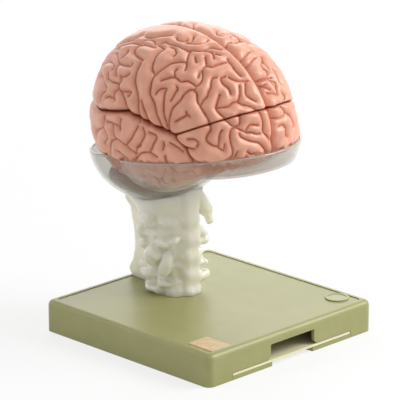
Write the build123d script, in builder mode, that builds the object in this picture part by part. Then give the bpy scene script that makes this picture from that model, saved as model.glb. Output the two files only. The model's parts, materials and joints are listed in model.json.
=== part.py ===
"""Brain anatomy model: a brain that lifts apart, on a clear skull base, a neck column and a base with a key card.

Millimetres. The origin is the middle of the base's underside, +Z is up and the brain faces -Y.
The model's right side is -X. Left pieces mirror the right ones.
"""
import os
from math import cos, radians, sin, sqrt

from build123d import *

os.makedirs("parts", exist_ok=True)

# Base housing
BASE_SIDE = 180.0
BASE_HEIGHT = 25.4
BASE_CORNER_RADIUS = 6.0
BASE_TOP_ROUNDING = 4.5
BASE_WALL = 3.0
BASE_TOP_THICKNESS = 3.0
TOP_FIELD_MARGIN = 6.0
TOP_FIELD_DEPTH = 0.6
TOP_FIELD_RADIUS = 4.0
NOTCH_WIDTH = 48.0
NOTCH_TOP = 17.7
NOTCH_FLARE = 2.5
BOSS_DIAMETER = 9.0
BOSS_INSET = 12.0
BOSS_BORE = 3.1

# Bottom plate and its screws
PLATE_THICKNESS = 3.4
PLATE_CLEARANCE = 0.3
THUMB_CUT_RADIUS = 22.5
RAIL_WIDTH = 3.0
RAIL_HEIGHT = 2.2
SCREW_DIAMETER = 3.0
SCREW_LENGTH = 11.0
SCREW_HEAD_DIAMETER = 6.4
SCREW_HEAD_HEIGHT = 1.8
SCREW_CLEARANCE = 0.2
SCREW_SLOT_WIDTH = 0.8
SCREW_SLOT_DEPTH = 0.7

# Key card that slides out of the front
CARD_WIDTH = 129.0
CARD_LENGTH = 150.0
CARD_THICKNESS = 1.8
CARD_SIDE_CLEARANCE = 0.7
CARD_HEADROOM = 0.5
CARD_FLOAT = 0.2

# Plain disc and plain label on the top
DISC_DIAMETER = 18.5
DISC_HEIGHT = 1.0
DISC_RIM = 1.6
DISC_RECESS = 0.4
DISC_CENTRE = (74.0, -67.5)
LABEL_WIDTH = 20.0
LABEL_LENGTH = 26.0
LABEL_THICKNESS = 0.4
LABEL_CENTRE = (-70.0, -70.5)

# Neck column, one casting: sections of its body as height, middle, half width and half depth
NECK_SECTIONS = ((24.0, 39.0, 17.5, 21.0), (31.0, 39.5, 17.0, 21.0), (50.0, 39.5, 15.0, 19.5),
                 (72.0, 41.0, 15.5, 20.5), (90.0, 45.0, 19.5, 24.0), (107.0, 51.5, 28.5, 30.0),
                 (126.0, 57.0, 36.0, 35.0))
NECK_TOP = 126.0
VERTEBRA_COUNT = 5
VERTEBRA_PITCH = 15.0
VERTEBRA_FIRST_Z = 33.0
BAND_WIDTH = 12.0
BAND_FRONT_Y = 16.0
BAND_DEPTH = 12.0
BAND_ROUNDING = 2.5
SHEET_THICKNESS = 5.0
SHEET_ROOT_Y = 45.0
SHEET_FOOT_Y = 83.4
SHEET_HEEL_Y = 88.8
SHEET_HEEL_Z = 31.0
SHEET_HOLLOW_Y = 82.5
SHEET_TOP_Y = 95.5
SHEET_TOP_Z = 92.0

# Bony swellings of one vertebra: centre from its own height, half length, half thickness, turns about X, Y and Z
BODY_SWELLING = ((0.0, 37.5, 0.0), 6.2, 18.0, (0.0, 90.0, 0.0))
SPINE_SWELLING = ((0.0, 71.0, -5.0), 10.6, 4.6, (0.0, 24.0, 90.0))
JOINT_SWELLING = ((14.5, 51.0, 1.5), 9.4, 6.9, (0.0, 34.0, 78.0))
SIDE_SWELLING = ((17.5, 38.0, -1.0), 7.4, 4.7, (0.0, 28.0, 8.0))
ARCH_SWELLING = ((7.5, 61.0, -1.5), 11.0, 5.8, (0.0, 20.0, 104.0))
BLUNT_SHARE = 0.97
FORAMEN_X = 19.8
FORAMEN_Y = 34.6
FORAMEN_RADIUS = 1.7

# Clear skull base, a shell of three stepped hollows under a tilted rim
SHELL_THICKNESS = 2.0
TRAY_MARGIN = 0.8
RIM_Y = 65.0
RIM_Z = 143.0
RIM_TILT = 7.0
FRONT_HOLLOW_CENTRE = (0.0, -17.0, 157.0)
FRONT_HOLLOW_SIZES = (76.0, 60.0, 19.4)
MIDDLE_HOLLOW_CENTRE = (39.0, 4.0, 151.0)
MIDDLE_HOLLOW_SIZES = (38.0, 33.0, 25.8)
REAR_HOLLOW_CENTRE = (0.0, 50.3, 149.0)
REAR_HOLLOW_SIZES = (62.5, 47.7, 49.0)

# Whole brain as one smooth body, nose down
BRAIN_CENTRE = (0.0, 16.6, 171.4)
BRAIN_SIZES = (75.0, 87.0, 68.8)
BRAIN_PITCH = 6.5
BRAIN_CLEARANCE = 0.5
MEDIAN_GAP = 0.4
MEDIAN_ROUNDING = 5.0

# Parting face between the upper and the lower brain, as seen from the side
PARTING_GAP = 0.4
PARTING_FRONT_Z = 194.0
PARTING_BROW = (-60.0, 192.5)
PARTING_TIP = (-27.0, 177.2)
PARTING_SHOULDER = (15.0, 188.8)
PARTING_REAR = (50.0, 181.4)
PARTING_REACH = 120.0
PARTING_RADII = (16.0, 3.0, 12.0, 16.0)

# Gap between the frontal and the temporal lobe, downwards from the tip of the parting
LOBE_GAP = 1.6
LOBE_GAP_MIDDLE = (-38.0, 162.0)
LOBE_GAP_LOWER = (-44.0, 155.0)
LOBE_GAP_FOOT = (-34.0, 120.0)

# Room under the rear of the cerebrum, with the cerebellum and the brain stem in it
ROOM_CENTRE = (0.0, 62.0, 118.0)
ROOM_SIZES = (76.0, 43.0, 23.8)
CEREBELLUM_CENTRE = (25.0, 60.0, 122.0)
CEREBELLUM_SIZES = (27.0, 31.0, 16.5)
FOLIUM_PITCH = 4.2
FOLIUM_DEPTH = 1.6
FOLIUM_WIDTH = 0.8
STEM_ROOM_CENTRE = (0.0, 24.0, 134.0)
STEM_ROOM_SIZES = (21.0, 20.0, 26.0)
STEM_TOP = (162.0, 18.0, 9.0, 8.0)
STEM_SECTIONS = (STEM_TOP, (154.0, 18.0, 9.0, 8.0), (146.0, 19.0, 14.0, 10.5), (137.0, 22.0, 13.5, 11.0),
                 (129.0, 26.0, 8.5, 8.0), (121.0, 31.0, 6.5, 6.0))
STEM_CLEARANCE = 0.8

# Furrows: width of the channel and the depth of its centre line below the surface
FURROW_RADIUS = 2.2
FURROW_SINK = 0.5
FURROW_BEND = 5.0
MAIN_FURROW_RADIUS = 2.8

# Rod, nuts and washers that clamp base, column and skull base together
ROD_DIAMETER = 6.0
ROD_CLEARANCE = 0.4
ROD_Y = 48.0
ROD_FOOT_Z = 11.0
WASHER_DIAMETER = 18.0
WASHER_THICKNESS = 1.6
NUT_WIDTH = 10.0
NUT_HEIGHT = 5.0
ROD_STAND = 1.5
SEAT_Z = 103.6
SEAT_MARGIN = 1.0

# Locating pins of the brain pieces
PIN_DIAMETER = 4.0
PIN_LENGTH = 12.0
PIN_CLEARANCE = 0.15
UPPER_PINS = ((40.0, -45.0), (40.0, 10.0), (32.0, 62.0))
LOBE_PINS = ((18.0, 169.0), (40.0, 169.0))
MEDIAN_PINS = ((-28.0, 215.0), (62.0, 208.0), (85.0, 165.0), (-55.0, 168.0))

# Sizes that follow from the ones above
base_half = BASE_SIDE / 2
cavity_side = BASE_SIDE - 2 * BASE_WALL
cavity_top = BASE_HEIGHT - TOP_FIELD_DEPTH - BASE_TOP_THICKNESS
field_z = BASE_HEIGHT - TOP_FIELD_DEPTH
slot_width = CARD_WIDTH + 2 * CARD_SIDE_CLEARANCE
card_z = PLATE_THICKNESS + CARD_FLOAT
slot_top = card_z + CARD_THICKNESS + CARD_HEADROOM
boss_spacing = BASE_SIDE - 2 * BOSS_INSET
hole_diameter = ROD_DIAMETER + 2 * ROD_CLEARANCE
rod_top = SEAT_Z + WASHER_THICKNESS + NUT_HEIGHT + ROD_STAND
rim_origin = (0, RIM_Y, RIM_Z)
brain_tilt = Rot(BRAIN_PITCH, 0, 0)
parting_stops = [(-PARTING_REACH, PARTING_FRONT_Z), PARTING_BROW, PARTING_TIP, PARTING_SHOULDER, PARTING_REAR,
                 (PARTING_REACH, PARTING_REAR[1])]
lobe_gap_stops = [(PARTING_TIP[0], PARTING_TIP[1] + PARTING_REACH), PARTING_TIP, LOBE_GAP_MIDDLE,
                  LOBE_GAP_LOWER, LOBE_GAP_FOOT]


def ellipsoid(centre, sizes, grow=0.0, side=1, turn=90):
    """Closed ellipsoid with its poles to the left and right; its seam is below, or above with a turn of -90."""
    a, b, c = (size + grow for size in sizes)
    ball = Rot(0, turn, 0) * Sphere(a, mode=Mode.PRIVATE)
    scaled = scale(ball, by=(1, b / a, c / a), mode=Mode.PRIVATE)
    return Pos(side * centre[0], centre[1], centre[2]) * scaled


def brain_point(bearing, elevation, sink=0.0):
    """Point on the smooth brain, seen from its centre: bearing from the front to the right side, degrees."""
    across = cos(radians(elevation))
    direction = Vector(-sin(radians(bearing)) * across, -cos(radians(bearing)) * across, sin(radians(elevation)))
    a, b, c = BRAIN_SIZES
    reach = 1 / sqrt((direction.X / a) ** 2 + (direction.Y / b) ** 2 + (direction.Z / c) ** 2)
    local = direction * (reach - sink)
    tilted = local.rotate(Axis.X, BRAIN_PITCH)
    return tilted + Vector(*BRAIN_CENTRE)


def furrow(stations, radius=FURROW_RADIUS):
    """Round channel cutter along the brain's surface through a few bearings and elevations."""
    points = [brain_point(bearing, elevation, FURROW_SINK) for bearing, elevation in stations]
    with BuildLine(mode=Mode.PRIVATE) as course:
        if len(points) > 2:
            FilletPolyline(*points, radius=FURROW_BEND)
        else:
            Line(*points)
    with BuildSketch(course.line ^ 0, mode=Mode.PRIVATE) as section:
        Circle(radius)
    return sweep(section.sketch, path=course.line, mode=Mode.PRIVATE)


def cut_furrows(courses, radius=FURROW_RADIUS):
    """Take several furrows out of the part that is being built."""
    for course in courses:
        add(furrow(course, radius), mode=Mode.SUBTRACT)


def side_profile(*points, radii):
    """Side view line of rounded corners, as Y and Z."""
    with BuildLine(mode=Mode.PRIVATE) as line:
        FilletPolyline(*points, radius=radii)
    return line.line


def across_model(line, corner_points):
    """Slab across the whole width of the model, bounded by a side view line and the corners behind it."""
    with BuildSketch(Plane.YZ, mode=Mode.PRIVATE) as outline:
        with BuildLine():
            add(line)
            Polyline(line @ 1, *corner_points, line @ 0)
        make_face()
    return extrude(outline.sketch, amount=BASE_SIDE, both=True, mode=Mode.PRIVATE)


def parting_line(shift):
    """Parting between upper and lower brain from front to rear, moved up or down by a share of the gap."""
    return side_profile(*[(y, z + shift) for y, z in parting_stops], radii=list(PARTING_RADII))


def below_parting(shift):
    """Everything below the parting face."""
    return across_model(parting_line(shift), [(PARTING_REACH, 0), (-PARTING_REACH, 0)])


def front_of_lobe_gap(shift):
    """Everything in front of the gap between frontal and temporal lobe."""
    line = side_profile(*[(y + shift, z) for y, z in lobe_gap_stops], radii=[FURROW_BEND] * 3)
    return across_model(line, [(-PARTING_REACH, LOBE_GAP_FOOT[1]), (-PARTING_REACH, lobe_gap_stops[0][1])])


def skull_hollows(grow):
    """The three stepped hollows of the skull base: one in front, two in the middle, one at the rear."""
    front = ellipsoid(FRONT_HOLLOW_CENTRE, FRONT_HOLLOW_SIZES, grow, turn=-90)
    left = ellipsoid(MIDDLE_HOLLOW_CENTRE, MIDDLE_HOLLOW_SIZES, grow, turn=-90)
    right = ellipsoid(MIDDLE_HOLLOW_CENTRE, MIDDLE_HOLLOW_SIZES, grow, side=-1, turn=-90)
    rear = ellipsoid(REAR_HOLLOW_CENTRE, REAR_HOLLOW_SIZES, grow, turn=-90)
    tray = Pos(*BRAIN_CENTRE) * brain_tilt * ellipsoid((0, 0, 0), BRAIN_SIZES, grow + TRAY_MARGIN)
    return rear + ((front + left + right) & tray)


rim_plane = Plane(origin=rim_origin, x_dir=(1, 0, 0), z_dir=(0, sin(radians(RIM_TILT)), cos(radians(RIM_TILT))))


def slab_on_rim(below):
    """Thick slab on the rim plane, below or above it."""
    with BuildSketch(rim_plane, mode=Mode.PRIVATE) as field:
        Rectangle(3 * BASE_SIDE, 3 * BASE_SIDE)
    return extrude(field.sketch, amount=-BASE_SIDE if below else BASE_SIDE, mode=Mode.PRIVATE)


skull_floor_blank = slab_on_rim(below=True) - skull_hollows(-BRAIN_CLEARANCE)
skull_outside = skull_hollows(SHELL_THICKNESS) - slab_on_rim(below=False)


def add_right_brain_half():
    """Smooth right half of the brain with its rounded edge along the middle, inside the skull base."""
    add(Pos(*BRAIN_CENTRE) * brain_tilt * ellipsoid((0, 0, 0), BRAIN_SIZES))
    split(bisect_by=Plane.YZ.offset(-MEDIAN_GAP / 2), keep=Keep.BOTTOM)
    median_face = faces().sort_by(Axis.X)[-1]
    fillet(median_face.edges(), MEDIAN_ROUNDING)


def parting_height(y):
    """Height of the parting face at a place along the brain."""
    for (y0, z0), (y1, z1) in zip(parting_stops, parting_stops[1:]):
        if y0 <= y <= y1:
            return z0 + (z1 - z0) * (y - y0) / (y1 - y0)
    return PARTING_FRONT_Z


def lobe_gap_place(z):
    """Place of the gap between frontal and temporal lobe at a height."""
    for (y0, z0), (y1, z1) in zip(lobe_gap_stops, lobe_gap_stops[1:]):
        if z1 <= z <= z0:
            return y0 + (y1 - y0) * (z - z0) / (z1 - z0)
    return PARTING_TIP[0]


def pins(places, turn, clearance=0.0):
    """Locating pins on their middle points; with a clearance they are the holes for them."""
    blanks = []
    for place in places:
        pin = Cylinder(PIN_DIAMETER / 2 + clearance, PIN_LENGTH + 2 * clearance, mode=Mode.PRIVATE)
        blanks.append(Pos(*place) * turn * pin)
    return blanks


def add_pin_holes():
    """Holes for all locating pins, taken out of the brain piece that is being built."""
    add(pins(upper_pin_places, UPRIGHT, PIN_CLEARANCE), mode=Mode.SUBTRACT)
    add(pins(lobe_pin_places, ALONG_Y, PIN_CLEARANCE), mode=Mode.SUBTRACT)
    add(pins(median_pin_places, ALONG_X, PIN_CLEARANCE), mode=Mode.SUBTRACT)


ON_FOOT = (Align.CENTER, Align.CENTER, Align.MIN)
UPRIGHT = Rot(0, 0, 0)
ALONG_X = Rot(0, 90, 0)
ALONG_Y = Rot(90, 0, 0)
upper_pin_places = [(-x, y, parting_height(y)) for x, y in UPPER_PINS]
lobe_pin_places = [(-x, lobe_gap_place(z), z) for x, z in LOBE_PINS]
median_pin_places = [(0, y, z) for y, z in MEDIAN_PINS]

# Furrows of the upper piece, each through a few bearings and elevations in degrees
MAIN_FURROWS_UPPER = [
    [(96, 57), (87, 43), (78, 27), (65, 12)],
    [(77, 32), (81, 40), (78, 46), (72, 51), (59, 54), (54, 63), (35, 67), (18, 65)],
    [(75, 37), (64, 41), (58, 39), (47, 37), (41, 45), (37, 51), (27, 52), (15, 54)],
    [(46, 35), (44, 27), (37, 17)],
    [(47, 37), (55, 30), (60, 20), (60, 8)],
]
FURROWS_UPPER = [
    [(103, 44), (97, 34), (88, 25), (80, 10)],
    [(32, 44), (37, 37), (42, 26)],
    [(29, 43), (25, 37), (22, 31)],
    [(30, 33), (33, 25), (28, 17)],
    [(33, 25), (24, 26), (14, 25)],
    [(20, 42), (16, 35), (20, 28)],
    [(24, 43), (15, 39), (4, 38)],
    [(119, 50), (113, 45), (103, 44)],
    [(139, 38), (128, 34), (110, 37)],
    [(124, 33), (118, 25), (101, 21), (92, 13)],
    [(110, 22), (115, 12)],
    [(71, 33), (68, 27), (63, 10)],
    [(59, 36), (62, 24)],
    [(84, 23), (76, 14)],
    [(138, 37), (143, 25), (135, 12)],
    [(152, 40), (160, 27), (153, 13)],
    [(160, 25), (173, 20)],
    [(112, 62), (133, 55), (150, 46), (172, 44)],
    [(60, 66), (90, 68), (125, 70)],
    [(20, 66), (30, 75), (75, 80)],
    [(150, 62), (165, 57), (177, 58)],
    [(126, 24), (131, 10)],
    [(95, 62), (62, 60), (38, 58)],
    [(48, 62), (30, 58), (10, 58)],
    [(110, 78), (60, 80)],
    [(150, 72), (172, 70)],
    [(165, 35), (178, 34)],
]

# Furrows of the lower rear piece
FURROWS_REAR = [
    [(112, 8), (106, 1), (100, -4), (105, -16)],
    [(100, -5), (89, -7), (80, 4)],
    [(90, -7), (80, -10), (69, -8), (60, -12)],
    [(72, -9), (66, -1)],
    [(112, 4), (125, -3), (140, 2)],
    [(120, -2), (119, -14), (122, -20)],
    [(138, 1), (141, -13)],
    [(140, 0), (155, 5), (172, 2)],
    [(155, 4), (158, -12)],
]

# Furrows of the lower front piece
FURROWS_FRONT = [
    [(37, 17), (39, 9), (31, 3)],
    [(28, 17), (22, 14), (26, 7), (26, -4)],
    [(22, 14), (14, 12), (6, 12)],
    [(20, 8), (11, 4), (4, 2)],
    [(52, 10), (46, 6), (42, 10)],
]

# Cerebrum, upper piece with the frontal and the parietal lobe
with BuildPart() as right_cerebrum_top:
    add_right_brain_half()
    add(below_parting(PARTING_GAP / 2), mode=Mode.SUBTRACT)
    cut_furrows(MAIN_FURROWS_UPPER, MAIN_FURROW_RADIUS)
    cut_furrows(FURROWS_UPPER)
    add_pin_holes()

# Cerebrum, lower front piece with the underside of the frontal lobe
with BuildPart() as right_frontal_base:
    add_right_brain_half()
    add(skull_floor_blank, mode=Mode.SUBTRACT)
    add(below_parting(-PARTING_GAP / 2), mode=Mode.INTERSECT)
    add(front_of_lobe_gap(-LOBE_GAP / 2), mode=Mode.INTERSECT)
    cut_furrows(FURROWS_FRONT)
    add_pin_holes()

# Cerebrum, lower rear piece with the temporal and the occipital lobe
with BuildPart() as right_temporal_occipital:
    add_right_brain_half()
    add(skull_floor_blank, mode=Mode.SUBTRACT)
    add(below_parting(-PARTING_GAP / 2), mode=Mode.INTERSECT)
    add(front_of_lobe_gap(LOBE_GAP / 2), mode=Mode.SUBTRACT)
    add(ellipsoid(ROOM_CENTRE, ROOM_SIZES), mode=Mode.SUBTRACT)
    add(ellipsoid(STEM_ROOM_CENTRE, STEM_ROOM_SIZES), mode=Mode.SUBTRACT)
    stem_top_z, stem_top_y, stem_half_width, stem_half_depth = STEM_TOP
    with BuildSketch(Plane.XY.offset(stem_top_z + STEM_CLEARANCE)):
        with Locations((0, stem_top_y)):
            Ellipse(stem_half_width + STEM_CLEARANCE, stem_half_depth + STEM_CLEARANCE)
    extrude(amount=-STEM_ROOM_SIZES[2] / 2, mode=Mode.SUBTRACT)
    cut_furrows(FURROWS_REAR)
    add_pin_holes()

# Half of the cerebellum, with level leaf furrows round its rear
with BuildPart() as right_cerebellum:
    add(ellipsoid(CEREBELLUM_CENTRE, CEREBELLUM_SIZES, side=-1))
    split(bisect_by=Plane.YZ.offset(-MEDIAN_GAP / 2), keep=Keep.BOTTOM)
    add(ellipsoid(STEM_ROOM_CENTRE, STEM_ROOM_SIZES), mode=Mode.SUBTRACT)
    add(skull_floor_blank, mode=Mode.SUBTRACT)
    folium_count = int(CEREBELLUM_SIZES[2] / FOLIUM_PITCH)
    for step in range(-folium_count, folium_count + 1):
        level = step * FOLIUM_PITCH
        share = sqrt(1 - (level / CEREBELLUM_SIZES[2]) ** 2)
        with BuildSketch(Plane.XY.offset(CEREBELLUM_CENTRE[2] + level)) as leaf:
            with Locations((-CEREBELLUM_CENTRE[0], CEREBELLUM_CENTRE[1])):
                Ellipse(2 * CEREBELLUM_SIZES[0], 2 * CEREBELLUM_SIZES[1])
                Ellipse(CEREBELLUM_SIZES[0] * share - FOLIUM_DEPTH, CEREBELLUM_SIZES[1] * share - FOLIUM_DEPTH,
                        mode=Mode.SUBTRACT)
        extrude(amount=FOLIUM_WIDTH / 2, both=True, mode=Mode.SUBTRACT)

# Half of the brain stem: midbrain, pons and the medulla that runs down and back
with BuildPart() as right_brain_stem:
    for z, y, half_width, half_depth in STEM_SECTIONS:
        with BuildSketch(Plane.XY.offset(z)):
            with Locations((0, y)):
                Ellipse(half_width, half_depth)
    loft()
    split(bisect_by=Plane.YZ.offset(-MEDIAN_GAP / 2), keep=Keep.BOTTOM)
    add(skull_floor_blank, mode=Mode.SUBTRACT)

# Clear skull base
with BuildPart() as skull_base:
    add(skull_hollows(0))
    with BuildSketch(Plane.XY.offset(SEAT_Z)):
        with Locations((0, ROD_Y)):
            Circle(WASHER_DIAMETER / 2 + SEAT_MARGIN)
    extrude(amount=-BASE_HEIGHT, mode=Mode.SUBTRACT)
    hollow = skull_base.part
    add(skull_outside, mode=Mode.REPLACE)
    add(hollow, mode=Mode.SUBTRACT)
    with Locations((0, ROD_Y, BASE_HEIGHT)):
        Cylinder(hole_diameter / 2, BASE_SIDE, align=ON_FOOT, mode=Mode.SUBTRACT)

# Swellings of one vertebra, along the middle and on both sides
MIDDLE_SWELLINGS = (BODY_SWELLING, SPINE_SWELLING)
PAIRED_SWELLINGS = (JOINT_SWELLING, SIDE_SWELLING, ARCH_SWELLING)


def swelling(shape, height, side):
    """One blunt bony swelling of a vertebra on the right (-1) or the left side (1)."""
    centre, half_length, half_thickness, turns = shape
    with BuildSketch(mode=Mode.PRIVATE) as section:
        Ellipse(half_length, half_thickness)
        Rectangle(2 * BLUNT_SHARE * half_length, 2 * half_thickness, mode=Mode.INTERSECT)
        split(bisect_by=Plane.XZ, keep=Keep.BOTTOM)
    body = revolve(section.sketch, axis=Axis.X, mode=Mode.PRIVATE)
    turned = Rot(0, 0, side * turns[2]) * Rot(turns[0], side * turns[1], 0) * body
    return Pos(side * centre[0], centre[1], height + centre[2]) * turned


# Neck column with the bony swellings of its vertebrae and the thin sheet to the rear
with BuildPart() as cervical_spine:
    for height, middle, half_width, half_depth in NECK_SECTIONS:
        with BuildSketch(Plane.XY.offset(height)):
            with Locations((0, middle)):
                Ellipse(half_width, half_depth)
    loft()
    with BuildSketch(Plane.XY.offset(field_z)):
        with Locations((0, BAND_FRONT_Y + BAND_DEPTH / 2)):
            RectangleRounded(BAND_WIDTH, BAND_DEPTH, BAND_ROUNDING)
    extrude(amount=NECK_TOP - field_z)
    with BuildSketch(Plane.YZ):
        with BuildLine():
            heel = (SHEET_HEEL_Y, SHEET_HEEL_Z)
            top = (SHEET_TOP_Y, SHEET_TOP_Z)
            ThreePointArc(heel, (SHEET_HOLLOW_Y, (SHEET_HEEL_Z + SHEET_TOP_Z) / 2), top)
            Polyline(top, (SHEET_TOP_Y, NECK_TOP), (SHEET_ROOT_Y, NECK_TOP), (SHEET_ROOT_Y, field_z),
                     (SHEET_FOOT_Y, field_z), heel)
        make_face()
    extrude(amount=SHEET_THICKNESS / 2, both=True)
    heights = [VERTEBRA_FIRST_Z + number * VERTEBRA_PITCH for number in range(VERTEBRA_COUNT)]
    add([swelling(shape, height, 1) for height in heights for shape in MIDDLE_SWELLINGS])
    add([swelling(shape, height, side) for height in heights for side in (-1, 1) for shape in PAIRED_SWELLINGS])
    with Locations((-FORAMEN_X, FORAMEN_Y, field_z), (FORAMEN_X, FORAMEN_Y, field_z)):
        Cylinder(FORAMEN_RADIUS, VERTEBRA_COUNT * VERTEBRA_PITCH, align=ON_FOOT, mode=Mode.SUBTRACT)
    add(skull_outside, mode=Mode.SUBTRACT)
    split(bisect_by=Plane.XY.offset(field_z), keep=Keep.TOP)
    with Locations((0, ROD_Y, field_z)):
        Cylinder(hole_diameter / 2, BASE_SIDE, align=ON_FOOT, mode=Mode.SUBTRACT)

# Base housing, open below, with the slot of the key card and the thumb notch in its front wall
with BuildPart() as base_shell:
    with BuildSketch():
        RectangleRounded(BASE_SIDE, BASE_SIDE, BASE_CORNER_RADIUS)
    extrude(amount=BASE_HEIGHT)
    fillet(faces().sort_by(Axis.Z)[-1].edges(), BASE_TOP_ROUNDING)
    with BuildSketch(Plane.XY.offset(field_z)):
        RectangleRounded(BASE_SIDE - 2 * TOP_FIELD_MARGIN, BASE_SIDE - 2 * TOP_FIELD_MARGIN, TOP_FIELD_RADIUS)
    extrude(amount=BASE_HEIGHT, mode=Mode.SUBTRACT)
    with BuildSketch():
        RectangleRounded(cavity_side, cavity_side, BASE_CORNER_RADIUS - BASE_WALL)
    extrude(amount=cavity_top, mode=Mode.SUBTRACT)
    with BuildSketch(Plane.XY.offset(PLATE_THICKNESS)):
        with GridLocations(boss_spacing, boss_spacing, 2, 2):
            Circle(BOSS_DIAMETER / 2)
            Circle(BOSS_BORE / 2, mode=Mode.SUBTRACT)
    extrude(amount=cavity_top - PLATE_THICKNESS)
    with BuildSketch(Plane.XZ.offset(base_half)):
        with Locations((0, slot_top / 2)):
            Rectangle(slot_width, slot_top)
        with BuildLine():
            notch_half = NOTCH_WIDTH / 2
            Polyline((-notch_half - NOTCH_FLARE, slot_top), (-notch_half, slot_top + NOTCH_FLARE),
                     (-notch_half, NOTCH_TOP), (notch_half, NOTCH_TOP), (notch_half, slot_top + NOTCH_FLARE),
                     (notch_half + NOTCH_FLARE, slot_top), close=True)
        make_face()
    extrude(amount=-BASE_WALL, mode=Mode.SUBTRACT)
    with Locations((0, ROD_Y, 0)):
        Cylinder(hole_diameter / 2, BASE_HEIGHT, align=ON_FOOT, mode=Mode.SUBTRACT)

# Bottom plate with a tongue through the front wall, the thumb cut and the rails of the card
with BuildPart() as base_plate:
    plate_side = cavity_side - 2 * PLATE_CLEARANCE
    tongue_width = slot_width - 2 * PLATE_CLEARANCE
    tongue_length = BASE_WALL + PLATE_CLEARANCE + BOSS_INSET
    with BuildSketch():
        RectangleRounded(plate_side, plate_side, BASE_CORNER_RADIUS - BASE_WALL)
        with Locations((0, tongue_length / 2 - base_half)):
            Rectangle(tongue_width, tongue_length)
        with Locations((0, -base_half)):
            Circle(THUMB_CUT_RADIUS, mode=Mode.SUBTRACT)
    extrude(amount=PLATE_THICKNESS)
    rail_length = CARD_LENGTH - BASE_WALL - PLATE_CLEARANCE
    rail_middle = CARD_LENGTH - rail_length / 2 - base_half
    stop_width = slot_width + 2 * RAIL_WIDTH
    with BuildSketch(Plane.XY.offset(PLATE_THICKNESS)):
        with Locations((-(slot_width + RAIL_WIDTH) / 2, rail_middle), ((slot_width + RAIL_WIDTH) / 2, rail_middle)):
            Rectangle(RAIL_WIDTH, rail_length)
        with Locations((0, CARD_LENGTH + CARD_SIDE_CLEARANCE + RAIL_WIDTH / 2 - base_half)):
            Rectangle(stop_width, RAIL_WIDTH)
    extrude(amount=RAIL_HEIGHT)
    with Locations(Plane(origin=(0, 0, 0), z_dir=(0, 0, -1))):
        with GridLocations(boss_spacing, boss_spacing, 2, 2):
            CounterBoreHole(SCREW_DIAMETER / 2 + SCREW_CLEARANCE, SCREW_HEAD_DIAMETER / 2 + SCREW_CLEARANCE,
                            SCREW_HEAD_HEIGHT)

# Four slotted screws of the bottom plate
with BuildPart() as plate_screws:
    with GridLocations(boss_spacing, boss_spacing, 2, 2):
        Cylinder(SCREW_HEAD_DIAMETER / 2, SCREW_HEAD_HEIGHT, align=ON_FOOT)
        Cylinder(SCREW_DIAMETER / 2, SCREW_LENGTH, align=ON_FOOT)
        Box(SCREW_HEAD_DIAMETER, SCREW_SLOT_WIDTH, SCREW_SLOT_DEPTH, align=ON_FOOT, mode=Mode.SUBTRACT)

# Key card
with BuildPart() as key_card:
    with BuildSketch(Plane.XY.offset(card_z)):
        with Locations((0, CARD_LENGTH / 2 - base_half)):
            Rectangle(CARD_WIDTH, CARD_LENGTH)
    extrude(amount=CARD_THICKNESS)

# Plain disc with a raised rim
with BuildPart() as plain_disc:
    with BuildSketch(Plane.XY.offset(field_z)):
        with Locations(DISC_CENTRE):
            Circle(DISC_DIAMETER / 2)
    extrude(amount=DISC_HEIGHT)
    with BuildSketch(Plane.XY.offset(field_z + DISC_HEIGHT)):
        with Locations(DISC_CENTRE):
            Circle(DISC_DIAMETER / 2 - DISC_RIM)
    extrude(amount=-DISC_RECESS, mode=Mode.SUBTRACT)

# Plain label
with BuildPart() as plain_label:
    with BuildSketch(Plane.XY.offset(field_z)):
        with Locations(LABEL_CENTRE):
            Rectangle(LABEL_WIDTH, LABEL_LENGTH)
    extrude(amount=LABEL_THICKNESS)

# Clamp: a long rod through the column, with a washer and a nut at each end
with BuildPart() as clamp_rod:
    with BuildSketch(Plane.XY.offset(ROD_FOOT_Z)):
        with Locations((0, ROD_Y)):
            Circle(ROD_DIAMETER / 2)
    extrude(amount=rod_top - ROD_FOOT_Z)
    chamfer(clamp_rod.edges().filter_by(GeomType.CIRCLE), ROD_DIAMETER / 8)


def washer_at(foot_z):
    """Flat ring round the rod, in the part that is being built."""
    with BuildSketch(Plane.XY.offset(foot_z), mode=Mode.PRIVATE) as ring:
        with Locations((0, ROD_Y)):
            Circle(WASHER_DIAMETER / 2)
            Circle(hole_diameter / 2, mode=Mode.SUBTRACT)
    extrude(ring.sketch, amount=WASHER_THICKNESS)


def nut_at(foot_z):
    """Hexagon nut on the rod's thread, in the part that is being built."""
    with BuildSketch(Plane.XY.offset(foot_z), mode=Mode.PRIVATE) as hexagon:
        with Locations((0, ROD_Y)):
            RegularPolygon(NUT_WIDTH / 2, 6, major_radius=False)
            Circle(ROD_DIAMETER / 2, mode=Mode.SUBTRACT)
    extrude(hexagon.sketch, amount=NUT_HEIGHT)


with BuildPart() as base_washer:
    washer_at(cavity_top - WASHER_THICKNESS)

with BuildPart() as base_nut:
    nut_at(cavity_top - WASHER_THICKNESS - NUT_HEIGHT)

with BuildPart() as skull_washer:
    washer_at(SEAT_Z)

with BuildPart() as skull_nut:
    nut_at(SEAT_Z + WASHER_THICKNESS)

# Locating pins, those of both sides together
with BuildPart() as upper_pins:
    add(pins(upper_pin_places, UPRIGHT))
    mirror(about=Plane.YZ)

with BuildPart() as lobe_pins:
    add(pins(lobe_pin_places, ALONG_Y))
    mirror(about=Plane.YZ)

with BuildPart() as median_pins:
    add(pins(median_pin_places, ALONG_X))


def hand_over(part, name):
    """Label a finished piece and write it as its own file."""
    part.label = name
    export_step(part, f"parts/{name}.step")


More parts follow.
